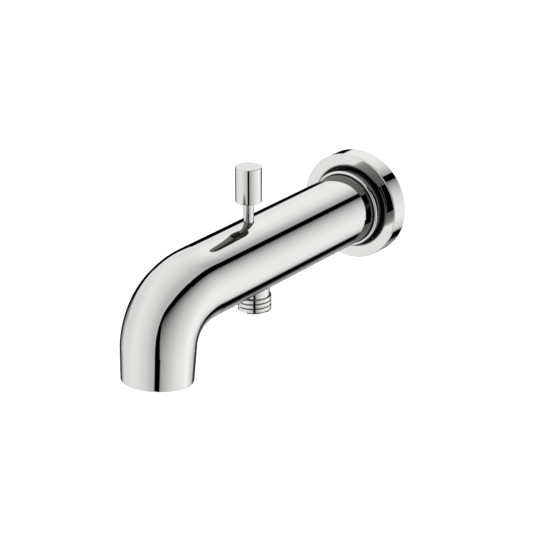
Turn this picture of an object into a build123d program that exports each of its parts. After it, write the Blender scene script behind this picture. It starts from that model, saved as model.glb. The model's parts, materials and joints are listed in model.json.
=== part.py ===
from build123d import *
import os

os.makedirs("parts", exist_ok=True)

# Frame: the origin is the centre of the wall face, the spout runs along -Y, +Z is up. Millimetres.

# spout tube
tube_r = 23.0
tube_wall = 3.0
bore_r = tube_r - tube_wall
bend_reach = 179.5  # wall to the start of the bend
easy_r = 54.0  # first, wide part of the bend
easy_angle = 22.5
tight_r = 28.0  # second, tight part
tight_angle = 63.5
end_len = 21.0  # straight run to the outlet
end_draft = 2.6  # degrees, the casting narrows to its mouth
lip_round = 1.0

# clearances
slip = 0.3  # loose slip fits
seat = 0.1  # thread and seal seats, drawn plain
run_fit = 0.05  # shaft in its guide
face_gap = 0.15  # sliding flat faces

# sealing rings, square in section as squeezed in their grooves
seal = 2.2
seal_side = 0.2
ring_land = 3.0  # metal or plastic left beside a groove

# collar of the inlet bush, a socket round the tube's end
collar_len = 19.0
collar_wall = 1.8
collar_r = tube_r + slip + collar_wall
collar_round = 1.2
collar_inner_round = 0.4
socket_depth = 8.0

# wall flange
flange_r = 35.0
flange_t = 12.2
flange_round = 0.8
plate_t = 3.0
collar_gap = 1.1  # open ring between the collar and the flange's bore
flange_bore_r = collar_r + collar_gap
bore_round = 2.0
boss_t = 2.4
boss_r = flange_bore_r + boss_t
rim_t = 2.0
gasket_w = 2.0
gasket_t = 2.0
flange_ring_y = 7.0

# inlet bush, female G1/2 drawn plain at its major diameter
pipe_r = 10.5
pipe_len = 14.0
washer_t = 2.0
water_r = 7.5
spigot_len = 11.0  # in front of the collar
washer_land = 0.6  # the washer's pocket is narrower than the thread
slot_w = 5.0
slot_depth = 3.0
slot_land = 3.0

# diverter
stem_reach = 125.0
stem_r = 3.2
stem_show = 13.35  # bare stem between the tube and the knob
lift = 0.5 * bore_r
knob_r = 8.25
knob_h = 22.7
knob_round = 0.6
knob_z = tube_r + stem_show
knob_hole = 10.0
screw_r = 2.0  # stem's thread in the knob
tail_r = 1.6  # stem's thread under the gate
gate_w = 1.1 * bore_r
gate_h = 0.55 * bore_r
gate_t = 6.0
gate_top = 0.05 * bore_r
pad_sunk = 1.0
pad_t = 1.8
pad_edge = 0.6
nut_h = 2.5
nut_r = 3.0

# valve housing
hose_offset = 6.0  # the hose outlet stands this far behind the stem
insert_r = bore_r - 2 * seat
chamber_wall = 3.3
chamber_r = insert_r - chamber_wall
front_wall = 9.9
port_w = 0.9 * bore_r
port_h = 0.4 * bore_r
port_edge = 0.5  # port's lower edge above the resting gate
port_round = 1.5
rib_t = 2.0
rib_grip = 2.0  # ribs overlap the gate's edges
gland_r = 5.2
gland_cover = 1.75  # housing left over the stem's ring
gland_wall = 2.8
root = 0.5  # depth that a rib or boss is let into the wall it grows from
stem_hole_r = stem_r + slip

# hose outlet, male G1/2 drawn plain at its major diameter
hose_reach = stem_reach - hose_offset
hose_r = 10.48
hose_neck_r = 9.45
hose_bore_r = 7.0
hose_show = 13.5  # below the tube
hose_tip = tube_r + hose_show
hose_thread = 9.7
hose_groove_r = hose_bore_r + 1.1
hose_land = 1.5  # metal above the sealing ring's groove
hose_edge = 0.6
key_r = 8.0  # corner radius of the key's socket
key_depth = 6.0

# aerator in the mouth
aer_r = 14.0
aer_sunk = 0.8
aer_h = 8.0
aer_lip = 1.2
aer_lip_r = 10.6
grid_r = 11.6
grid_h = 4.5
grid_cell = 2.3
grid_pitch = 3.1
screen_t = 0.6
screen_cell = 1.7
screen_pitch = 2.5
aer_washer_t = 1.5
web_t = 3.0
web_r = 9.5

# derived levels
gate_low = gate_top - gate_h
gate_rear = stem_reach - gate_t / 2
pad_front = stem_reach + gate_t / 2 - pad_sunk + pad_t
port_face = pad_front + 2 * face_gap
insert_front = port_face + front_wall
port_low = gate_top + port_edge
floor_top = gate_low - nut_h - 2 * face_gap
gland_low = gate_top + lift + face_gap
gland_h = insert_r - gland_cover - seal - gland_low
ring_groove_r = insert_r - seal
thread_top = hose_tip - hose_thread
hose_seat_r = hose_neck_r + face_gap
hose_ring_z = floor_top - hose_land
floor_back = hose_reach - hose_seat_r - ring_land
insert_back = floor_back - 2 * ring_land - seal
aer_top = aer_sunk + aer_h
aer_shoulder = aer_top + aer_washer_t
body_back = collar_len - socket_depth

# centre line of the tube
with BuildLine(Plane.YZ) as course:
    straight = Line((-body_back, 0), (-bend_reach, 0))
    easy = JernArc(straight @ 1, straight % 1, easy_r, easy_angle)
    tight = JernArc(easy @ 1, easy % 1, tight_r, tight_angle)
bend_end = Plane(origin=tight @ 1, x_dir=(1, 0, 0), z_dir=tight % 1)
mouth = bend_end.offset(end_len)

# the bore follows the same line to the web over the aerator
with BuildLine() as bore_course:
    add(course.line)
    Line(tight @ 1, tight @ 1 + (tight % 1) * (end_len - aer_shoulder - web_t))

# spout tube
with BuildPart() as spout_body:
    with BuildSketch(Plane.XZ.offset(body_back)):
        Circle(tube_r)
    sweep(path=course.wires()[0])
    with BuildSketch(bend_end):
        Circle(tube_r)
    extrude(amount=end_len, taper=end_draft)
    outer_lip = spout_body.edges().filter_by(GeomType.CIRCLE).sort_by_distance(mouth.origin)[0]
    fillet(outer_lip, lip_round)
    with BuildSketch(Plane.XZ.offset(body_back)):
        Circle(bore_r)
    sweep(path=bore_course.wires()[0], mode=Mode.SUBTRACT)
    with BuildSketch(mouth):
        Circle(aer_r)
    extrude(amount=-aer_shoulder, mode=Mode.SUBTRACT)
    with BuildSketch(mouth):
        Circle(web_r)
    extrude(amount=-(aer_shoulder + 2 * web_t), mode=Mode.SUBTRACT)
    # stem hole in the roof, hose outlet's hole in the floor
    with BuildSketch(Plane.XY.offset(tube_r)):
        with Locations((0, -stem_reach)):
            Circle(stem_hole_r)
    extrude(amount=-2 * tube_wall, mode=Mode.SUBTRACT)
    with BuildSketch(Plane.XY.offset(-tube_r)):
        with Locations((0, -hose_reach)):
            Circle(hose_neck_r + slip)
    extrude(amount=tube_r - hose_neck_r, mode=Mode.SUBTRACT)
spout_body.part.label = "spout_body"
export_step(spout_body.part, "parts/spout_body.step")

# cover flange, turned about the tube's axis
with BuildPart() as wall_flange:
    with BuildSketch(Plane.YZ):
        with BuildLine():
            Polyline(
                (-flange_t, flange_bore_r),
                (-flange_ring_y - seal / 2 - seal_side, flange_bore_r),
                (-flange_ring_y - seal / 2 - seal_side, collar_r + seal + seat),
                (-flange_ring_y + seal / 2 + seal_side, collar_r + seal + seat),
                (-flange_ring_y + seal / 2 + seal_side, flange_bore_r),
                (-gasket_t, flange_bore_r),
                (-gasket_t, boss_r),
                (-flange_t + plate_t, boss_r),
                (-flange_t + plate_t, flange_r - rim_t - gasket_w),
                (-gasket_t, flange_r - rim_t - gasket_w),
                (-gasket_t, flange_r - rim_t),
                (0, flange_r - rim_t),
                (0, flange_r),
                (-flange_t, flange_r),
                close=True,
            )
        make_face()
    revolve(axis=Axis.Y)
    front_edges = wall_flange.edges().filter_by_position(Axis.Y, -flange_t, -flange_t)
    fillet(front_edges.sort_by(SortBy.LENGTH)[0], bore_round)
    front_edges = wall_flange.edges().filter_by_position(Axis.Y, -flange_t, -flange_t)
    fillet(front_edges.sort_by(SortBy.LENGTH)[-1], flange_round)
wall_flange.part.label = "wall_flange"
export_step(wall_flange.part, "parts/wall_flange.step")

with BuildPart() as flange_ring:
    with BuildSketch(Plane.XZ.offset(flange_ring_y - seal / 2)):
        Circle(collar_r + seal)
        Circle(collar_r + seat / 2, mode=Mode.SUBTRACT)
    extrude(amount=seal)
flange_ring.part.label = "flange_ring"
export_step(flange_ring.part, "parts/flange_ring.step")

with BuildPart() as wall_gasket:
    with BuildSketch(Plane.XZ):
        Circle(flange_r - rim_t - seat)
        Circle(flange_r - rim_t - gasket_w - gasket_w / 2, mode=Mode.SUBTRACT)
    extrude(amount=gasket_t)
wall_gasket.part.label = "wall_gasket"
export_step(wall_gasket.part, "parts/wall_gasket.step")

# inlet bush: collar round the tube's end, spigot inside it
with BuildPart() as inlet_bush:
    with BuildSketch(Plane.XZ):
        Circle(collar_r)
    extrude(amount=collar_len)
    with BuildSketch(Plane.XZ.offset(body_back)):
        Circle(tube_r + slip)
    extrude(amount=socket_depth, mode=Mode.SUBTRACT)
    collar_edges = inlet_bush.edges().filter_by_position(Axis.Y, -collar_len, -collar_len)
    fillet(collar_edges.sort_by(SortBy.LENGTH)[-1], collar_round)
    collar_edges = inlet_bush.edges().filter_by_position(Axis.Y, -collar_len, -collar_len)
    fillet(collar_edges.sort_by(SortBy.LENGTH)[0], collar_inner_round)
    with BuildSketch(Plane.XZ.offset(body_back)):
        Circle(insert_r)
    extrude(amount=socket_depth + spigot_len)
    with BuildSketch(Plane.XZ.offset(collar_len + spigot_len / 2 - seal / 2 - seal_side)):
        Circle(bore_r + 1)
        Circle(ring_groove_r, mode=Mode.SUBTRACT)
    extrude(amount=seal + 2 * seal_side, mode=Mode.SUBTRACT)
    with BuildSketch(Plane.XZ):
        Circle(pipe_r)
    extrude(amount=pipe_len, mode=Mode.SUBTRACT)
    with BuildSketch(Plane.XZ.offset(pipe_len)):
        Circle(pipe_r - washer_land)
    extrude(amount=washer_t, mode=Mode.SUBTRACT)
    with BuildSketch(Plane.XZ):
        Circle(water_r)
    extrude(amount=collar_len + spigot_len, mode=Mode.SUBTRACT)
    # slots for a pin spanner
    with BuildSketch(Plane.XZ):
        with Locations((0, collar_r), (0, -collar_r)):
            Rectangle(slot_w, 2 * (collar_r - pipe_r - slot_land))
    extrude(amount=slot_depth, mode=Mode.SUBTRACT)
inlet_bush.part.label = "inlet_bush"
export_step(inlet_bush.part, "parts/inlet_bush.step")

with BuildPart() as inlet_ring:
    with BuildSketch(Plane.XZ.offset(collar_len + spigot_len / 2 - seal / 2)):
        Circle(bore_r - seat / 2)
        Circle(ring_groove_r + seat / 2, mode=Mode.SUBTRACT)
    extrude(amount=seal)
inlet_ring.part.label = "inlet_ring"
export_step(inlet_ring.part, "parts/inlet_ring.step")

with BuildPart() as pipe_washer:
    with BuildSketch(Plane.XZ.offset(pipe_len + seat / 2)):
        Circle(pipe_r - washer_land - seat)
        Circle(water_r + seat, mode=Mode.SUBTRACT)
    extrude(amount=washer_t - seat / 2)
pipe_washer.part.label = "pipe_washer"
export_step(pipe_washer.part, "parts/pipe_washer.step")

# valve housing: round chamber, front wall with the port, ribs behind the gate
with BuildPart() as diverter_insert:
    with BuildSketch(Plane.XZ.offset(insert_back)):
        Circle(insert_r)
    extrude(amount=insert_front - insert_back)
    with BuildSketch(Plane.XZ.offset(insert_back)):
        Circle(chamber_r)
    extrude(amount=port_face - insert_back, mode=Mode.SUBTRACT)
    with BuildSketch(Plane.XZ.offset(gate_rear - face_gap - rib_t)):
        Circle(chamber_r + root)
        Rectangle(gate_w - 2 * rib_grip, 3 * chamber_r, mode=Mode.SUBTRACT)
    extrude(amount=rib_t)
    # flat floor that takes the hose outlet's thread
    with BuildSketch(Plane.XZ.offset(floor_back)):
        Circle(chamber_r + root)
        with Locations((0, floor_top)):
            Rectangle(3 * chamber_r, 3 * chamber_r, align=(Align.CENTER, Align.MIN), mode=Mode.SUBTRACT)
    extrude(amount=port_face - floor_back + root)
    # gland over the stem
    with BuildSketch(Plane.XY.offset(gland_low)):
        with Locations((0, -stem_reach)):
            Circle(gland_r + gland_wall)
    extrude(amount=chamber_r + root - gland_low)
    with BuildSketch(Plane.XY.offset(gland_low)):
        with Locations((0, -stem_reach)):
            Circle(gland_r)
    extrude(amount=gland_h + seal, mode=Mode.SUBTRACT)
    with BuildSketch(Plane.XY.offset(gland_low)):
        with Locations((0, -stem_reach)):
            Circle(stem_hole_r)
    extrude(amount=bore_r - gland_low, mode=Mode.SUBTRACT)
    with BuildSketch(Plane.XY.offset(floor_top)):
        with Locations((0, -hose_reach)):
            Circle(hose_seat_r)
    extrude(amount=-(bore_r + floor_top), mode=Mode.SUBTRACT)
    with BuildSketch(Plane.XZ.offset(port_face)):
        with Locations((0, port_low + port_h / 2)):
            RectangleRounded(port_w, port_h, port_round)
    extrude(amount=front_wall, mode=Mode.SUBTRACT)
    for ring_y in (insert_back + ring_land, insert_front - ring_land - seal):
        with BuildSketch(Plane.XZ.offset(ring_y - seal_side)):
            Circle(bore_r + 1)
            Circle(ring_groove_r, mode=Mode.SUBTRACT)
        extrude(amount=seal + 2 * seal_side, mode=Mode.SUBTRACT)
diverter_insert.part.label = "diverter_insert"
export_step(diverter_insert.part, "parts/diverter_insert.step")

with BuildPart() as insert_ring_back:
    with BuildSketch(Plane.XZ.offset(insert_back + ring_land)):
        Circle(bore_r - seat / 2)
        Circle(ring_groove_r + seat / 2, mode=Mode.SUBTRACT)
    extrude(amount=seal)
insert_ring_back.part.label = "insert_ring_back"
export_step(insert_ring_back.part, "parts/insert_ring_back.step")

with BuildPart() as insert_ring_front:
    with BuildSketch(Plane.XZ.offset(insert_front - ring_land - seal)):
        Circle(bore_r - seat / 2)
        Circle(ring_groove_r + seat / 2, mode=Mode.SUBTRACT)
    extrude(amount=seal)
insert_ring_front.part.label = "insert_ring_front"
export_step(insert_ring_front.part, "parts/insert_ring_front.step")

with BuildPart() as gland_bush:
    with BuildSketch(Plane.XY.offset(gland_low + face_gap)):
        with Locations((0, -stem_reach)):
            Circle(gland_r - seat)
            Circle(stem_r + run_fit, mode=Mode.SUBTRACT)
    extrude(amount=gland_h - face_gap)
gland_bush.part.label = "gland_bush"
export_step(gland_bush.part, "parts/gland_bush.step")

with BuildPart() as stem_ring:
    with BuildSketch(Plane.XY.offset(gland_low + gland_h)):
        with Locations((0, -stem_reach)):
            Circle(gland_r - seat)
            Circle(stem_r + run_fit, mode=Mode.SUBTRACT)
    extrude(amount=seal)
stem_ring.part.label = "stem_ring"
export_step(stem_ring.part, "parts/stem_ring.step")

# stem: threaded tail through the gate, rod, threaded top in the knob
with BuildPart() as diverter_stem:
    with BuildSketch(Plane.XY.offset(gate_low - nut_h)):
        with Locations((0, -stem_reach)):
            Circle(tail_r)
    extrude(amount=gate_h + nut_h)
    with BuildSketch(Plane.XY.offset(gate_top)):
        with Locations((0, -stem_reach)):
            Circle(stem_r)
    extrude(amount=knob_z - gate_top)
    with BuildSketch(Plane.XY.offset(knob_z)):
        with Locations((0, -stem_reach)):
            Circle(screw_r)
    extrude(amount=knob_hole - face_gap)
diverter_stem.part.label = "diverter_stem"
export_step(diverter_stem.part, "parts/diverter_stem.step")

with BuildPart() as diverter_knob:
    with BuildSketch(Plane.XY.offset(knob_z)):
        with Locations((0, -stem_reach)):
            Circle(knob_r)
    extrude(amount=knob_h)
    fillet(diverter_knob.edges().filter_by(GeomType.CIRCLE), knob_round)
    with BuildSketch(Plane.XY.offset(knob_z)):
        with Locations((0, -stem_reach)):
            Circle(screw_r + seat)
    extrude(amount=knob_hole, mode=Mode.SUBTRACT)
diverter_knob.part.label = "diverter_knob"
export_step(diverter_knob.part, "parts/diverter_knob.step")

# gate: plate on the stem's tail with a pocket for its pad
with BuildPart() as gate:
    with BuildSketch(Plane.XY.offset(gate_low)):
        with Locations((0, -stem_reach)):
            Rectangle(gate_w, gate_t)
            Circle(tail_r + seat, mode=Mode.SUBTRACT)
    extrude(amount=gate_h)
    with BuildSketch(Plane.XZ.offset(stem_reach + gate_t / 2)):
        with Locations((0, gate_top - gate_h / 2)):
            Rectangle(gate_w - 2 * pad_edge, gate_h - 2 * pad_edge)
    extrude(amount=-pad_sunk, mode=Mode.SUBTRACT)
gate.part.label = "gate"
export_step(gate.part, "parts/gate.step")

with BuildPart() as gate_pad:
    with BuildSketch(Plane.XZ.offset(pad_front - pad_t)):
        with Locations((0, gate_top - gate_h / 2)):
            Rectangle(gate_w - 2 * pad_edge - 2 * seat, gate_h - 2 * pad_edge - 2 * seat)
    extrude(amount=pad_t)
gate_pad.part.label = "gate_pad"
export_step(gate_pad.part, "parts/gate_pad.step")

with BuildPart() as gate_nut:
    with BuildSketch(Plane.XY.offset(gate_low - nut_h)):
        with Locations((0, -stem_reach)):
            RegularPolygon(nut_r, 6)
            Circle(tail_r + seat, mode=Mode.SUBTRACT)
    extrude(amount=nut_h)
gate_nut.part.label = "gate_nut"
export_step(gate_nut.part, "parts/gate_nut.step")

# hose outlet: neck through the tube's floor, thread below it
with BuildPart() as hose_outlet:
    with BuildSketch(Plane.XY.offset(-hose_tip)):
        with Locations((0, -hose_reach)):
            Circle(hose_r)
    extrude(amount=hose_thread)
    chamfer(hose_outlet.edges().filter_by(GeomType.CIRCLE), hose_edge)
    with BuildSketch(Plane.XY.offset(-thread_top)):
        with Locations((0, -hose_reach)):
            Circle(hose_neck_r)
    extrude(amount=thread_top + floor_top - seat)
    with BuildSketch(Plane.XY.offset(hose_ring_z)):
        with Locations((0, -hose_reach)):
            Circle(hose_r)
            Circle(hose_groove_r, mode=Mode.SUBTRACT)
    extrude(amount=-(seal + 2 * seal_side), mode=Mode.SUBTRACT)
    with BuildSketch(Plane.XY.offset(-hose_tip)):
        with Locations((0, -hose_reach)):
            Circle(hose_bore_r)
    extrude(amount=hose_tip, mode=Mode.SUBTRACT)
    with BuildSketch(Plane.XY.offset(-hose_tip)):
        with Locations((0, -hose_reach)):
            RegularPolygon(key_r, 6)
    extrude(amount=key_depth, mode=Mode.SUBTRACT)
hose_outlet.part.label = "hose_outlet"
export_step(hose_outlet.part, "parts/hose_outlet.step")

with BuildPart() as hose_ring:
    with BuildSketch(Plane.XY.offset(hose_ring_z - seal_side)):
        with Locations((0, -hose_reach)):
            Circle(hose_seat_r - seat / 2)
            Circle(hose_groove_r + seat / 2, mode=Mode.SUBTRACT)
    extrude(amount=-seal)
hose_ring.part.label = "hose_ring"
export_step(hose_ring.part, "parts/hose_ring.step")

# aerator, stacked up from the mouth
with BuildPart() as aerator_housing:
    with BuildSketch(mouth.offset(-aer_sunk)):
        Circle(aer_r - 2 * seat)
        Circle(aer_lip_r, mode=Mode.SUBTRACT)
    extrude(amount=-aer_h)
    with BuildSketch(mouth.offset(-aer_sunk - aer_lip)):
        Circle(grid_r)
    extrude(amount=-aer_h, mode=Mode.SUBTRACT)
aerator_housing.part.label = "aerator_housing"
export_step(aerator_housing.part, "parts/aerator_housing.step")

with BuildPart() as aerator_grid:
    with BuildSketch(mouth.offset(-aer_sunk - aer_lip)):
        Circle(grid_r - seat)
        with GridLocations(grid_pitch, grid_pitch, 5, 5):
            Rectangle(grid_cell, grid_cell, mode=Mode.SUBTRACT)
    extrude(amount=-grid_h)
aerator_grid.part.label = "aerator_grid"
export_step(aerator_grid.part, "parts/aerator_grid.step")

with BuildPart() as aerator_screen:
    with BuildSketch(mouth.offset(-aer_sunk - aer_lip - grid_h)):
        Circle(grid_r - seat)
        with GridLocations(screen_pitch, screen_pitch, 6, 6):
            Rectangle(screen_cell, screen_cell, mode=Mode.SUBTRACT)
    extrude(amount=-screen_t)
aerator_screen.part.label = "aerator_screen"
export_step(aerator_screen.part, "parts/aerator_screen.step")

with BuildPart() as aerator_washer:
    with BuildSketch(mouth.offset(-aer_top)):
        Circle(aer_r - 3 * seat)
        Circle(web_r + seat, mode=Mode.SUBTRACT)
    extrude(amount=-aer_washer_t)
aerator_washer.part.label = "aerator_washer"
export_step(aerator_washer.part, "parts/aerator_washer.step")
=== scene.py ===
import json
import math
import bmesh
import bpy
from mathutils import Matrix, Vector


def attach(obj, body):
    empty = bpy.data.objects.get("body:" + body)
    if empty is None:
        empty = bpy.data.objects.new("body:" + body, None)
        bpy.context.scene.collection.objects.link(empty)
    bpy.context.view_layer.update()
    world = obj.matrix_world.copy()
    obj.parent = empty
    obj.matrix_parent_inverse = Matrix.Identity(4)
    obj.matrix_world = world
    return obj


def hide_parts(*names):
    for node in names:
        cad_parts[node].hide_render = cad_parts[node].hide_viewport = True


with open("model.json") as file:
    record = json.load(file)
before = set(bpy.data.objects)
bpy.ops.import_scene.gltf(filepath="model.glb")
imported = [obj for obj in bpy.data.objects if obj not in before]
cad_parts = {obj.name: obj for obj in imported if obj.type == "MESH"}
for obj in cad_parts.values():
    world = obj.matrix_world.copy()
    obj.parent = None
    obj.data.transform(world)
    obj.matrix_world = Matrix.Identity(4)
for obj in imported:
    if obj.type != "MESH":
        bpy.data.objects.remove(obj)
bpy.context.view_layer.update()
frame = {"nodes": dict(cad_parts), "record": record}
nodes = frame["nodes"]
print("frame loaded,", len(nodes), "solids")

mm = 0.001
perMetre = 1000  # pattern sizes are in mm, texture scales count per metre
pieceSettings = {"merge": 0.002, "sharpFrom": 32.0}  # mm, degrees


def hexColour(code):
    # sRGB hex to the linear colour that shader sockets take
    channels = [int(code[i:i + 2], 16) / 255 for i in (1, 3, 5)]
    linear = [c / 12.92 if c <= 0.04045 else ((c + 0.055) / 1.055) ** 2.4 for c in channels]
    return (*linear, 1.0)


def addNode(tree, kind, settings=None, **links):
    # one node, its properties, then its sockets by name or as s0, s1: a socket or a plain value for each
    node = tree.nodes.new(kind)
    for key, value in (settings or {}).items():
        setattr(node, key, value)
    for name, value in links.items():
        socket = node.inputs[int(name[1:])] if name[1:].isdigit() else node.inputs[name.replace("_", " ")]
        if isinstance(value, bpy.types.NodeSocket):
            tree.links.new(value, socket)
        else:
            socket.default_value = value
    return node


def newMaterial(name):
    material = bpy.data.materials.new(name)
    material.use_nodes = True
    tree = material.node_tree
    tree.nodes.clear()
    output = tree.nodes.new("ShaderNodeOutputMaterial")
    return material, tree, output


def newObject(bm, name, material):
    mesh = bpy.data.meshes.new(name)
    bm.to_mesh(mesh)
    bm.free()
    mesh.materials.append(material)
    made = bpy.data.objects.new(name, mesh)
    bpy.context.collection.objects.link(made)
    return made


def finishPiece(bm, name, material, body):
    # merged, normals outwards, smooth where the faces meet at a low angle
    bmesh.ops.remove_doubles(bm, verts=bm.verts, dist=pieceSettings["merge"] * mm)
    bmesh.ops.recalc_face_normals(bm, faces=bm.faces)
    piece = newObject(bm, name, material)
    piece.data.shade_smooth()
    piece.data.set_sharp_from_angle(angle=math.radians(pieceSettings["sharpFrom"]))
    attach(piece, body)
    return piece


# chrome: bright plate on buffed brass, a clean mirror with a breath of haze from the buffing mop
chromeSettings = {"bright": "#cdcdcc", "deep": "#c8c8c7", "paintedMirrorShade": "#757574", "hazeSize": 14.0,
                  "hazeFrom": 0.35, "hazeTo": 0.7, "smooth": 0.015, "hazy": 0.035}
chrome, tree, output = newMaterial("chromePlateBuffed")
spot = addNode(tree, "ShaderNodeTexCoord")
haze = addNode(tree, "ShaderNodeTexNoise", Vector=spot.outputs["Object"],
               Scale=perMetre / chromeSettings["hazeSize"], Detail=3.0, Roughness=0.55)
plate = addNode(tree, "ShaderNodeMix", {"data_type": "RGBA"}, s0=haze.outputs["Fac"],
                s6=hexColour(chromeSettings["bright"]), s7=hexColour(chromeSettings["deep"]))
# painted shade: plate mirrored in plate gets a darker base colour than it really has, to darken the rings
# round the wall flange
path = addNode(tree, "ShaderNodeLightPath")
tint = addNode(tree, "ShaderNodeMix", {"data_type": "RGBA"}, s0=path.outputs["Is Glossy Ray"],
               s6=plate.outputs[2], s7=hexColour(chromeSettings["paintedMirrorShade"]))
gloss = addNode(tree, "ShaderNodeMapRange", Value=haze.outputs["Fac"],
                From_Min=chromeSettings["hazeFrom"], From_Max=chromeSettings["hazeTo"],
                To_Min=chromeSettings["smooth"], To_Max=chromeSettings["hazy"])
shader = addNode(tree, "ShaderNodeBsdfPrincipled", Base_Color=tint.outputs[2], Metallic=1.0,
                 Roughness=gloss.outputs["Result"])
tree.links.new(shader.outputs[0], output.inputs[0])

# brass: turned bar, warm and satin; the tool's rings are drawn far wider than real, which leaves the
# thread's own lines clear
brassSettings = {"light": "#d8b878", "dark": "#b8935a", "stainSize": 9.0, "ringStep": 5.655,
                 "ringDepth": 0.04, "ringStrength": 0.25, "smooth": 0.2, "dull": 0.38}
waveTurn = 20 / (2 * math.pi)  # rings that the wave texture draws to a unit
brass, tree, output = newMaterial("brassTurnedBar")
spot = addNode(tree, "ShaderNodeTexCoord")
stain = addNode(tree, "ShaderNodeTexNoise", Vector=spot.outputs["Object"],
                Scale=perMetre / brassSettings["stainSize"], Detail=4.0)
rings = addNode(tree, "ShaderNodeTexWave", {"wave_type": "RINGS", "rings_direction": "Y"},
                Vector=spot.outputs["Object"], Scale=perMetre / brassSettings["ringStep"] / waveTurn,
                Distortion=0.4)
tint = addNode(tree, "ShaderNodeMix", {"data_type": "RGBA"}, s0=stain.outputs["Fac"],
               s6=hexColour(brassSettings["light"]), s7=hexColour(brassSettings["dark"]))
gloss = addNode(tree, "ShaderNodeMapRange", Value=stain.outputs["Fac"],
                To_Min=brassSettings["smooth"], To_Max=brassSettings["dull"])
cut = addNode(tree, "ShaderNodeBump", Height=rings.outputs["Fac"], Strength=brassSettings["ringStrength"],
              Distance=brassSettings["ringDepth"] * mm)
shader = addNode(tree, "ShaderNodeBsdfPrincipled", Base_Color=tint.outputs[2], Metallic=1.0,
                 Roughness=gloss.outputs["Result"], Normal=cut.outputs[0])
tree.links.new(shader.outputs[0], output.inputs[0])

# rubber: moulded black EPDM, dull, with a faint grey bloom and mould grain
rubberSettings = {"black": "#191a1c", "bloom": "#2a2b2d", "bloomSize": 6.0, "grain": 0.5, "grainDepth": 0.05,
                  "grainStrength": 0.3, "smooth": 0.62, "dull": 0.85, "ior": 1.52}
rubber, tree, output = newMaterial("rubberMouldedBlack")
spot = addNode(tree, "ShaderNodeTexCoord")
bloom = addNode(tree, "ShaderNodeTexNoise", Vector=spot.outputs["Object"],
                Scale=perMetre / rubberSettings["bloomSize"], Detail=4.0)
grain = addNode(tree, "ShaderNodeTexNoise", Vector=spot.outputs["Object"],
                Scale=perMetre / rubberSettings["grain"], Detail=2.0)
tint = addNode(tree, "ShaderNodeMix", {"data_type": "RGBA"}, s0=bloom.outputs["Fac"],
               s6=hexColour(rubberSettings["black"]), s7=hexColour(rubberSettings["bloom"]))
gloss = addNode(tree, "ShaderNodeMapRange", Value=bloom.outputs["Fac"],
                To_Min=rubberSettings["smooth"], To_Max=rubberSettings["dull"])
skin = addNode(tree, "ShaderNodeBump", Height=grain.outputs["Fac"], Strength=rubberSettings["grainStrength"],
               Distance=rubberSettings["grainDepth"] * mm)
shader = addNode(tree, "ShaderNodeBsdfPrincipled", Base_Color=tint.outputs[2],
                 Roughness=gloss.outputs["Result"], IOR=rubberSettings["ior"], Normal=skin.outputs[0])
tree.links.new(shader.outputs[0], output.inputs[0])

# acetal: moulded valve plastic, off-white and slightly waxy
acetalSettings = {"white": "#e6e5df", "shade": "#d6d5ce", "flowSize": 11.0, "grain": 0.8, "grainDepth": 0.04,
                  "grainStrength": 0.15, "smooth": 0.32, "dull": 0.48, "ior": 1.48}
acetal, tree, output = newMaterial("acetalMouldedWhite")
spot = addNode(tree, "ShaderNodeTexCoord")
flow = addNode(tree, "ShaderNodeTexNoise", Vector=spot.outputs["Object"],
               Scale=perMetre / acetalSettings["flowSize"], Detail=3.0)
grain = addNode(tree, "ShaderNodeTexNoise", Vector=spot.outputs["Object"],
                Scale=perMetre / acetalSettings["grain"], Detail=2.0)
tint = addNode(tree, "ShaderNodeMix", {"data_type": "RGBA"}, s0=flow.outputs["Fac"],
               s6=hexColour(acetalSettings["white"]), s7=hexColour(acetalSettings["shade"]))
gloss = addNode(tree, "ShaderNodeMapRange", Value=flow.outputs["Fac"],
                To_Min=acetalSettings["smooth"], To_Max=acetalSettings["dull"])
skin = addNode(tree, "ShaderNodeBump", Height=grain.outputs["Fac"], Strength=acetalSettings["grainStrength"],
               Distance=acetalSettings["grainDepth"] * mm)
shader = addNode(tree, "ShaderNodeBsdfPrincipled", Base_Color=tint.outputs[2],
                 Roughness=gloss.outputs["Result"], IOR=acetalSettings["ior"], Normal=skin.outputs[0])
tree.links.new(shader.outputs[0], output.inputs[0])

# grid plastic: moulded grey acetal of the flow straightener
gridSettings = {"grey": "#c3c7cb", "shade": "#aeb3b8", "flowSize": 5.0, "smooth": 0.35, "dull": 0.5,
                "ior": 1.48}
gridPlastic, tree, output = newMaterial("acetalMouldedGrey")
spot = addNode(tree, "ShaderNodeTexCoord")
flow = addNode(tree, "ShaderNodeTexNoise", Vector=spot.outputs["Object"],
               Scale=perMetre / gridSettings["flowSize"], Detail=3.0)
tint = addNode(tree, "ShaderNodeMix", {"data_type": "RGBA"}, s0=flow.outputs["Fac"],
               s6=hexColour(gridSettings["grey"]), s7=hexColour(gridSettings["shade"]))
gloss = addNode(tree, "ShaderNodeMapRange", Value=flow.outputs["Fac"],
                To_Min=gridSettings["smooth"], To_Max=gridSettings["dull"])
shader = addNode(tree, "ShaderNodeBsdfPrincipled", Base_Color=tint.outputs[2],
                 Roughness=gloss.outputs["Result"], IOR=gridSettings["ior"])
tree.links.new(shader.outputs[0], output.inputs[0])

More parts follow.
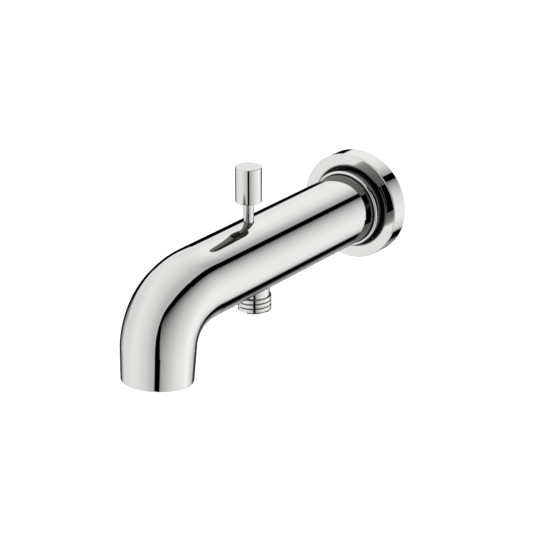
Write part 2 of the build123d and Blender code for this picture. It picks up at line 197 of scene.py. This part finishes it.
# stainless wire: the sieve's bright drawn wire
steelSettings = {"light": "#bcbdbd", "dark": "#9d9f9f", "drawSize": 1.2, "smooth": 0.24, "dull": 0.42}
steel, tree, output = newMaterial("stainlessWireDrawn")
spot = addNode(tree, "ShaderNodeTexCoord")
draw = addNode(tree, "ShaderNodeTexNoise", Vector=spot.outputs["Object"],
               Scale=perMetre / steelSettings["drawSize"], Detail=3.0)
tint = addNode(tree, "ShaderNodeMix", {"data_type": "RGBA"}, s0=draw.outputs["Fac"],
               s6=hexColour(steelSettings["light"]), s7=hexColour(steelSettings["dark"]))
gloss = addNode(tree, "ShaderNodeMapRange", Value=draw.outputs["Fac"],
                To_Min=steelSettings["smooth"], To_Max=steelSettings["dull"])
shader = addNode(tree, "ShaderNodeBsdfPrincipled", Base_Color=tint.outputs[2], Metallic=1.0,
                 Roughness=gloss.outputs["Result"])
tree.links.new(shader.outputs[0], output.inputs[0])

finishes = {"chrome": chrome, "brass": brass, "rubber": rubber, "valve_plastic": acetal,
            "grid_plastic": gridPlastic, "steel": steel}
for subpart in frame["record"]["subparts"]:
    mesh = nodes[subpart["node"]].data
    mesh.materials.clear()
    mesh.materials.append(finishes[subpart["material_slot"]])

# hose outlet: smooth neck, coarse rounded thread, hexagon socket for its key
hose = {"y": -119.0, "tip": -36.5, "threadTop": -26.8, "crest": 10.48, "pitch": 3.0, "spareTurns": 3,
        "groove": 0.85, "grooveShare": 0.36, "shoulder": 0.72, "shoulderAt": 0.2, "neck": 9.45, "top": -12.9,
        "bore": 7.0, "keySides": 6, "keyCorner": 8.0, "keyDepth": 6.0, "edge": 0.5, "cutMargin": 0.2,
        "weld": 0.01, "cutSnap": 0.001, "around": 96}


def ringLoop(bm, radius, level, around):
    # closed ring of edges at a level of the outlet's axis
    made = bmesh.ops.create_circle(bm, segments=around, radius=radius * mm,
                                   matrix=Matrix.Translation((0, hose["y"] * mm, level * mm)))
    return list({e for v in made["verts"] for e in v.link_edges})


def helixGrooves(bm, s):
    # one pitch of the thread's outline, spun with a rise per step; turns meet crest to crest
    start = s["tip"] - s["spareTurns"] / 2 * s["pitch"]
    turns = math.ceil((s["threadTop"] - s["tip"]) / s["pitch"]) + s["spareTurns"]
    flat = 1 - s["grooveShare"]
    bottom = flat + s["grooveShare"] / 2
    off = s["grooveShare"] * s["shoulderAt"]
    shoulder = s["groove"] * s["shoulder"]
    outline = [(0.0, 0.0), (flat / 2, 0.0), (flat, 0.0), (bottom - off, shoulder), (bottom, s["groove"]),
               (bottom + off, shoulder), (1.0, 0.0)]
    points = [bm.verts.new(((s["crest"] - deep) * mm, s["y"] * mm, (start + along * s["pitch"]) * mm))
              for along, deep in outline]
    edges = [bm.edges.new(pair) for pair in zip(points, points[1:])]
    bmesh.ops.spin(bm, geom=points + edges, cent=(0, s["y"] * mm, 0), axis=(0, 0, 1),
                   dvec=(0, 0, s["pitch"] * mm / s["around"]), angle=2 * math.pi * turns,
                   steps=s["around"] * turns, use_merge=False, use_duplicate=False)
    bmesh.ops.remove_doubles(bm, verts=bm.verts, dist=s["weld"] * mm)
    # the spare turns are cut off at both ends
    for level, side in ((s["tip"] + s["edge"], -1), (s["threadTop"], 1)):
        bmesh.ops.bisect_plane(bm, geom=bm.verts[:] + bm.edges[:] + bm.faces[:], dist=s["cutSnap"] * mm,
                               plane_co=(0, 0, level * mm), plane_no=(0, 0, side), clear_outer=True)


def buildHoseOutlet(s):
    bm = bmesh.new()
    helixGrooves(bm, s)
    ends = [e for e in bm.edges if e.is_boundary]
    low = [e for e in ends if e.verts[0].co.z < (s["tip"] + s["edge"] + s["cutMargin"]) * mm]
    high = [e for e in ends if e.verts[0].co.z > (s["threadTop"] - s["cutMargin"]) * mm]
    neckLow = ringLoop(bm, s["neck"], s["threadTop"], s["around"])
    neckHigh = ringLoop(bm, s["neck"], s["top"], s["around"])
    boreHigh = ringLoop(bm, s["bore"], s["top"], s["around"])
    boreLow = ringLoop(bm, s["bore"], s["tip"] + s["keyDepth"], s["around"])
    rim = ringLoop(bm, s["crest"] - s["edge"], s["tip"], s["around"])
    keyLow = ringLoop(bm, s["keyCorner"], s["tip"], s["keySides"])
    keyHigh = ringLoop(bm, s["keyCorner"], s["tip"] + s["keyDepth"], s["keySides"])
    for one, other in ((high, neckLow), (neckLow, neckHigh), (neckHigh, boreHigh), (boreHigh, boreLow),
                       (boreLow, keyHigh), (keyHigh, keyLow), (keyLow, rim), (rim, low)):
        bmesh.ops.bridge_loops(bm, edges=one + other)
    return finishPiece(bm, "hoseOutletThreaded", chrome, "spout")


hoseOutlet = buildHoseOutlet(hose)
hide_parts("hose_outlet")
print("hose outlet threaded,", len(hoseOutlet.data.polygons), "faces")

# inlet thread: the ridge of the female pipe thread inside the inlet bush, where the brass is bare
inletThread = {"wall": 10.56, "crest": 9.32, "pitch": 1.814, "rootShare": 0.46, "crestShare": 0.16,
               "from": -1.2, "to": -13.0, "around": 72}


def buildInletThread(s):
    bm = bmesh.new()
    turns = (s["from"] - s["to"]) / s["pitch"] - 1
    steps = round(s["around"] * turns)
    root = s["pitch"] * s["rootShare"]
    tip = root * s["crestShare"]
    middle = s["from"] - s["pitch"] / 2
    outline = [(s["wall"], -root), (s["crest"], -tip), (s["crest"], tip), (s["wall"], root)]
    points = [bm.verts.new((radius * mm, (middle + along) * mm, 0)) for radius, along in outline]
    cap = bm.faces.new(points)
    bmesh.ops.spin(bm, geom=[cap], cent=(0, 0, 0), axis=(0, 1, 0), angle=2 * math.pi * turns, steps=steps,
                   dvec=(0, -s["pitch"] * mm * turns / steps, 0), use_merge=False, use_duplicate=False)
    return finishPiece(bm, "inletThreadRidge", brass, "spout")


ridge = buildInletThread(inletThread)
print("inlet thread,", len(ridge.data.polygons), "faces")

# studio: a light tent round the part, seen in the chrome only, with a dark-edged screen on its right
tentSettings = {"radius": 5.0, "level": 1.68, "around": 64, "rows": 32}  # radius in metres
tentMaterial, tree, output = newMaterial("tentClothLit")
spot = addNode(tree, "ShaderNodeTexCoord")
ray = addNode(tree, "ShaderNodeVectorMath", {"operation": "NORMALIZE"}, s0=spot.outputs["Object"])
axes = addNode(tree, "ShaderNodeSeparateXYZ", s0=ray.outputs[0])
x, y, z = axes.outputs[0], axes.outputs[1], axes.outputs[2]
nearlyNone = 0.001  # keeps divisors off zero

# screen, as if it stood at x = 1: u runs back along it and v up; a dark border with one round corner
screenEdge = {"cornerU": -1.07, "cornerV": 0.685, "cornerR": 0.55, "borderIn": 0.42, "borderOut": 0.53,
              "thinFrom": -1.3, "thinTo": -0.2, "cornerThinner": 1.9, "topFrom": 1.2, "topTo": 2.4,
              "topThicker": 0.816, "endBorder": 0.03, "endScreen": -0.12}
ahead = addNode(tree, "ShaderNodeMath", {"operation": "MAXIMUM"}, s0=x, s1=nearlyNone)
screenU = addNode(tree, "ShaderNodeMath", {"operation": "DIVIDE"}, s0=y, s1=ahead.outputs[0])
screenV = addNode(tree, "ShaderNodeMath", {"operation": "DIVIDE"}, s0=z, s1=ahead.outputs[0])
pastU = addNode(tree, "ShaderNodeMath", {"operation": "SUBTRACT"}, s0=screenEdge["cornerU"],
                s1=screenU.outputs[0])
pastV = addNode(tree, "ShaderNodeMath", {"operation": "SUBTRACT"}, s0=screenV.outputs[0],
                s1=screenEdge["cornerV"])
outU = addNode(tree, "ShaderNodeMath", {"operation": "MAXIMUM"}, s0=pastU.outputs[0], s1=0.0)
outV = addNode(tree, "ShaderNodeMath", {"operation": "MAXIMUM"}, s0=pastV.outputs[0], s1=0.0)
out = addNode(tree, "ShaderNodeCombineXYZ", s0=outU.outputs[0], s1=outV.outputs[0])
corner = addNode(tree, "ShaderNodeVectorMath", {"operation": "LENGTH"}, s0=out.outputs[0])
most = addNode(tree, "ShaderNodeMath", {"operation": "MAXIMUM"}, s0=pastU.outputs[0], s1=pastV.outputs[0])
inner = addNode(tree, "ShaderNodeMath", {"operation": "MINIMUM"}, s0=most.outputs[0], s1=0.0)
reach = addNode(tree, "ShaderNodeMath", {"operation": "ADD"}, s0=corner.outputs["Value"], s1=inner.outputs[0])
edge = addNode(tree, "ShaderNodeMath", {"operation": "SUBTRACT"}, s0=reach.outputs[0],
               s1=screenEdge["cornerR"])
# the border is widest down the side, thinnest round the corner
lean = addNode(tree, "ShaderNodeMath", {"operation": "SUBTRACT"}, s0=pastV.outputs[0], s1=pastU.outputs[0])
thin = addNode(tree, "ShaderNodeMapRange", Value=lean.outputs[0], From_Min=screenEdge["thinFrom"],
               From_Max=screenEdge["thinTo"], To_Min=1.0, To_Max=screenEdge["cornerThinner"])
thicken = addNode(tree, "ShaderNodeMapRange", Value=lean.outputs[0], From_Min=screenEdge["topFrom"],
                  From_Max=screenEdge["topTo"], To_Min=1.0, To_Max=screenEdge["topThicker"])
thin = addNode(tree, "ShaderNodeMath", {"operation": "MULTIPLY"}, s0=thin.outputs[0], s1=thicken.outputs[0])
thinned = addNode(tree, "ShaderNodeMath", {"operation": "MULTIPLY"}, s0=edge.outputs[0], s1=thin.outputs[0])
off = addNode(tree, "ShaderNodeMath", {"operation": "ABSOLUTE"}, s0=thinned.outputs[0])
border = addNode(tree, "ShaderNodeMapRange", {"interpolation_type": "SMOOTHSTEP"}, Value=off.outputs[0],
                 From_Min=screenEdge["borderIn"], From_Max=screenEdge["borderOut"])
inside = addNode(tree, "ShaderNodeMath", {"operation": "LESS_THAN"}, s0=edge.outputs[0], s1=0.0)
# neither screen nor border on the tent's other half
noBorder = addNode(tree, "ShaderNodeMapRange", Value=x, From_Min=screenEdge["endBorder"], From_Max=0.0)
border = addNode(tree, "ShaderNodeMath", {"operation": "MAXIMUM"}, s0=border.outputs[0],
                 s1=noBorder.outputs[0])
ours = addNode(tree, "ShaderNodeMapRange", Value=x, From_Min=screenEdge["endScreen"], From_Max=0.0)
inside = addNode(tree, "ShaderNodeMath", {"operation": "MULTIPLY"}, s0=inside.outputs[0], s1=ours.outputs[0])

# screen's light: brightest far along it and low down
screenLight = {"from": -1.2, "to": 3.6, "dimAbove": -0.6, "dimRate": 0.362,
               "greys": ((0.0, 0.28), (0.174, 0.57), (0.25, 0.72), (0.425, 0.88), (0.5, 0.82), (0.6, 0.79),
                         (0.77, 0.62), (1.0, 0.5))}
along = addNode(tree, "ShaderNodeMapRange", Value=screenU.outputs[0], From_Min=screenLight["from"],
                From_Max=screenLight["to"])
panel = addNode(tree, "ShaderNodeValToRGB", s0=along.outputs[0])
lifted = addNode(tree, "ShaderNodeMath", {"operation": "SUBTRACT"}, s0=screenV.outputs[0],
                 s1=screenLight["dimAbove"])
above = addNode(tree, "ShaderNodeMath", {"operation": "MAXIMUM"}, s0=lifted.outputs[0], s1=0.0)
squared = addNode(tree, "ShaderNodeMath", {"operation": "POWER"}, s0=above.outputs[0], s1=2.0)
fall = addNode(tree, "ShaderNodeMath", {"operation": "MULTIPLY"}, s0=squared.outputs[0],
               s1=screenLight["dimRate"])
down = addNode(tree, "ShaderNodeMath", {"operation": "SUBTRACT", "use_clamp": True}, s0=1.0,
               s1=fall.outputs[0])
screen = addNode(tree, "ShaderNodeMath", {"operation": "MULTIPLY"}, s0=panel.outputs[0], s1=down.outputs[0])

# rest of the tent: fades towards the screen, and has its own greys high up behind
clothLight = {"highFrom": 0.2, "highTo": 0.45, "rearFrom": 0.45, "rearTo": 0.72,
              "greys": ((0.0, 0.63), (0.18, 0.76), (0.33, 0.72), (0.5, 0.63), (0.67, 0.46), (1.0, 0.4)),
              "roofGreys": ((0.0, 0.6), (0.2, 0.62), (0.27, 0.76), (0.32, 0.8), (0.45, 0.79), (0.55, 0.67),
                            (0.66, 0.35), (1.0, 0.3))}
side = addNode(tree, "ShaderNodeMapRange", Value=x, From_Min=-1.0, From_Max=1.0)
cloth = addNode(tree, "ShaderNodeValToRGB", s0=side.outputs[0])
roof = addNode(tree, "ShaderNodeValToRGB", s0=side.outputs[0])
for ramp, greys in ((panel, screenLight["greys"]), (cloth, clothLight["greys"]),
                    (roof, clothLight["roofGreys"])):
    stops = ramp.color_ramp.elements
    for place, grey in greys:
        stop = stops.new(place) if 0 < place < 1 else stops[-int(place)]  # the end stops are there already
        stop.color = (grey, grey, grey, 1)
high = addNode(tree, "ShaderNodeMapRange", Value=z, From_Min=clothLight["highFrom"],
               From_Max=clothLight["highTo"])
rear = addNode(tree, "ShaderNodeMapRange", Value=y, From_Min=clothLight["rearFrom"],
               From_Max=clothLight["rearTo"])
roofShare = addNode(tree, "ShaderNodeMath", {"operation": "MULTIPLY"}, s0=high.outputs[0], s1=rear.outputs[0])
cloth = addNode(tree, "ShaderNodeMix", {"data_type": "FLOAT"}, s0=roofShare.outputs[0], s2=cloth.outputs[0],
                s3=roof.outputs[0])
wall = addNode(tree, "ShaderNodeMix", {"data_type": "FLOAT"}, s0=inside.outputs[0], s2=cloth.outputs[0],
               s3=screen.outputs[0])

# dark gap low behind the part: the thin dark outline of every edge; the floor lights its left foot
gapEdge = {"hemSlope": 1.36, "hemDark": -0.64, "hemLight": -0.46, "leftDark": 0.33, "leftLight": -0.1,
           "browSlope": -0.25, "browDark": 0.0, "browLight": 0.05, "footFrom": -0.02, "footTo": -0.3,
           "footLight": 0.4, "footTop": -0.42, "footLow": -0.56}
behind = addNode(tree, "ShaderNodeMath", {"operation": "MAXIMUM"}, s0=y, s1=nearlyNone)
slant = addNode(tree, "ShaderNodeMath", {"operation": "DIVIDE"}, s0=x, s1=behind.outputs[0])
hem = addNode(tree, "ShaderNodeMath", {"operation": "MULTIPLY_ADD"}, s0=z, s1=gapEdge["hemSlope"],
              s2=slant.outputs[0])
gapRight = addNode(tree, "ShaderNodeMapRange", {"interpolation_type": "SMOOTHSTEP"}, Value=hem.outputs[0],
                   From_Min=gapEdge["hemDark"], From_Max=gapEdge["hemLight"])
gapLeft = addNode(tree, "ShaderNodeMapRange", Value=y, From_Min=gapEdge["leftDark"],
                  From_Max=gapEdge["leftLight"])
brow = addNode(tree, "ShaderNodeMath", {"operation": "MULTIPLY_ADD"}, s0=y, s1=gapEdge["browSlope"], s2=z)
gapTop = addNode(tree, "ShaderNodeMapRange", {"interpolation_type": "SMOOTHSTEP"}, Value=brow.outputs[0],
                 From_Min=gapEdge["browDark"], From_Max=gapEdge["browLight"])
footSide = addNode(tree, "ShaderNodeMapRange", Value=slant.outputs[0], From_Min=gapEdge["footFrom"],
                   From_Max=gapEdge["footTo"], To_Max=gapEdge["footLight"])
footTop = addNode(tree, "ShaderNodeMapRange", Value=z, From_Min=gapEdge["footTop"],
                  From_Max=gapEdge["footLow"])
foot = addNode(tree, "ShaderNodeMath", {"operation": "MULTIPLY"}, s0=footSide.outputs[0],
               s1=footTop.outputs[0])
gap = gapRight
for lit in (gapLeft, gapTop, foot):
    gap = addNode(tree, "ShaderNodeMath", {"operation": "MAXIMUM"}, s0=gap.outputs[0], s1=lit.outputs[0])
shade = addNode(tree, "ShaderNodeMath", {"operation": "MULTIPLY"}, s0=wall.outputs[0], s1=border.outputs[0])
shade = addNode(tree, "ShaderNodeMath", {"operation": "MULTIPLY"}, s0=shade.outputs[0], s1=gap.outputs[0])
glow = addNode(tree, "ShaderNodeMath", {"operation": "MULTIPLY"}, s0=shade.outputs[0],
               s1=tentSettings["level"])
shader = addNode(tree, "ShaderNodeEmission", Strength=glow.outputs[0])
tree.links.new(shader.outputs[0], output.inputs[0])

bm = bmesh.new()
bmesh.ops.create_uvsphere(bm, u_segments=tentSettings["around"], v_segments=tentSettings["rows"],
                          radius=tentSettings["radius"])
bmesh.ops.reverse_faces(bm, faces=bm.faces)
tent = newObject(bm, "lightTent", tentMaterial)
tent.data.shade_smooth()
tent.visible_camera = False
tent.visible_shadow = False


def seenByEye(tree):
    # 1 for what is seen directly, mirrored or through glass, 0 for the light that falls on surfaces
    light = addNode(tree, "ShaderNodeLightPath")
    straight = addNode(tree, "ShaderNodeMath", {"operation": "MAXIMUM"}, s0=light.outputs["Is Camera Ray"],
                       s1=light.outputs["Is Glossy Ray"])
    seen = addNode(tree, "ShaderNodeMath", {"operation": "MAXIMUM"}, s0=straight.outputs[0],
                   s1=light.outputs["Is Transmission Ray"])
    return seen.outputs[0]


# pale floor well below the part, kept out of the chrome, clear when looked at from beneath
floorSettings = {"level": -0.36, "middle": -0.12, "radius": 2.2, "around": 96, "colour": "#f2f2f1",
                 "lift": 0.3}  # place and size in metres
floorMaterial, tree, output = newMaterial("floorPaintedPale")
paint = addNode(tree, "ShaderNodeBsdfDiffuse", Color=hexColour(floorSettings["colour"]))
raised = addNode(tree, "ShaderNodeMath", {"operation": "MULTIPLY"}, s0=seenByEye(tree),
                 s1=floorSettings["lift"])
lift = addNode(tree, "ShaderNodeEmission", Strength=raised.outputs[0])
both = addNode(tree, "ShaderNodeAddShader", s0=paint.outputs[0], s1=lift.outputs[0])
sheet = addNode(tree, "ShaderNodeNewGeometry")
clear = addNode(tree, "ShaderNodeBsdfTransparent")
oneSided = addNode(tree, "ShaderNodeMixShader", s0=sheet.outputs["Backfacing"], s1=both.outputs[0],
                   s2=clear.outputs[0])
tree.links.new(oneSided.outputs[0], output.inputs[0])
bm = bmesh.new()
bmesh.ops.create_circle(bm, cap_ends=True, segments=floorSettings["around"], radius=floorSettings["radius"],
                        matrix=Matrix.Translation((0, floorSettings["middle"], floorSettings["level"])))
floor = newObject(bm, "paleFloor", floorMaterial)
floor.visible_glossy = False

# white behind everything for the camera, with no light of its own
world = bpy.data.worlds.new("whiteStudio")
bpy.context.scene.world = world
world.use_nodes = True
tree = world.node_tree
tree.nodes.clear()
sky = addNode(tree, "ShaderNodeBackground", Color=(1, 1, 1, 1), Strength=seenByEye(tree))
output = tree.nodes.new("ShaderNodeOutputWorld")
tree.links.new(sky.outputs[0], output.inputs[0])
print("studio set")

# camera from the photograph's own perspective, for a square picture
cameraSettings = {"place": (844.12, -1300.13, 557.89), "turn": 35.173, "above": 21.391, "lens": 167.36,
                  "sensor": 36.0, "clipStart": 0.05, "clipEnd": 30.0}  # place in mm, clips in metres
camera = bpy.data.cameras.new("photoCamera")
camera.lens = cameraSettings["lens"]
camera.sensor_width = cameraSettings["sensor"]
camera.clip_start = cameraSettings["clipStart"]
camera.clip_end = cameraSettings["clipEnd"]
viewer = bpy.data.objects.new("photoCamera", camera)
bpy.context.collection.objects.link(viewer)
turn, above = math.radians(cameraSettings["turn"]), math.radians(cameraSettings["above"])
back = Vector((math.sin(turn) * math.cos(above), -math.cos(turn) * math.cos(above), math.sin(above)))
viewer.location = Vector(cameraSettings["place"]) * mm
viewer.rotation_euler = (-back).to_track_quat("-Z", "Y").to_euler()
bpy.context.scene.camera = viewer
bpy.context.scene.view_settings.view_transform = "Standard"
print("camera set")
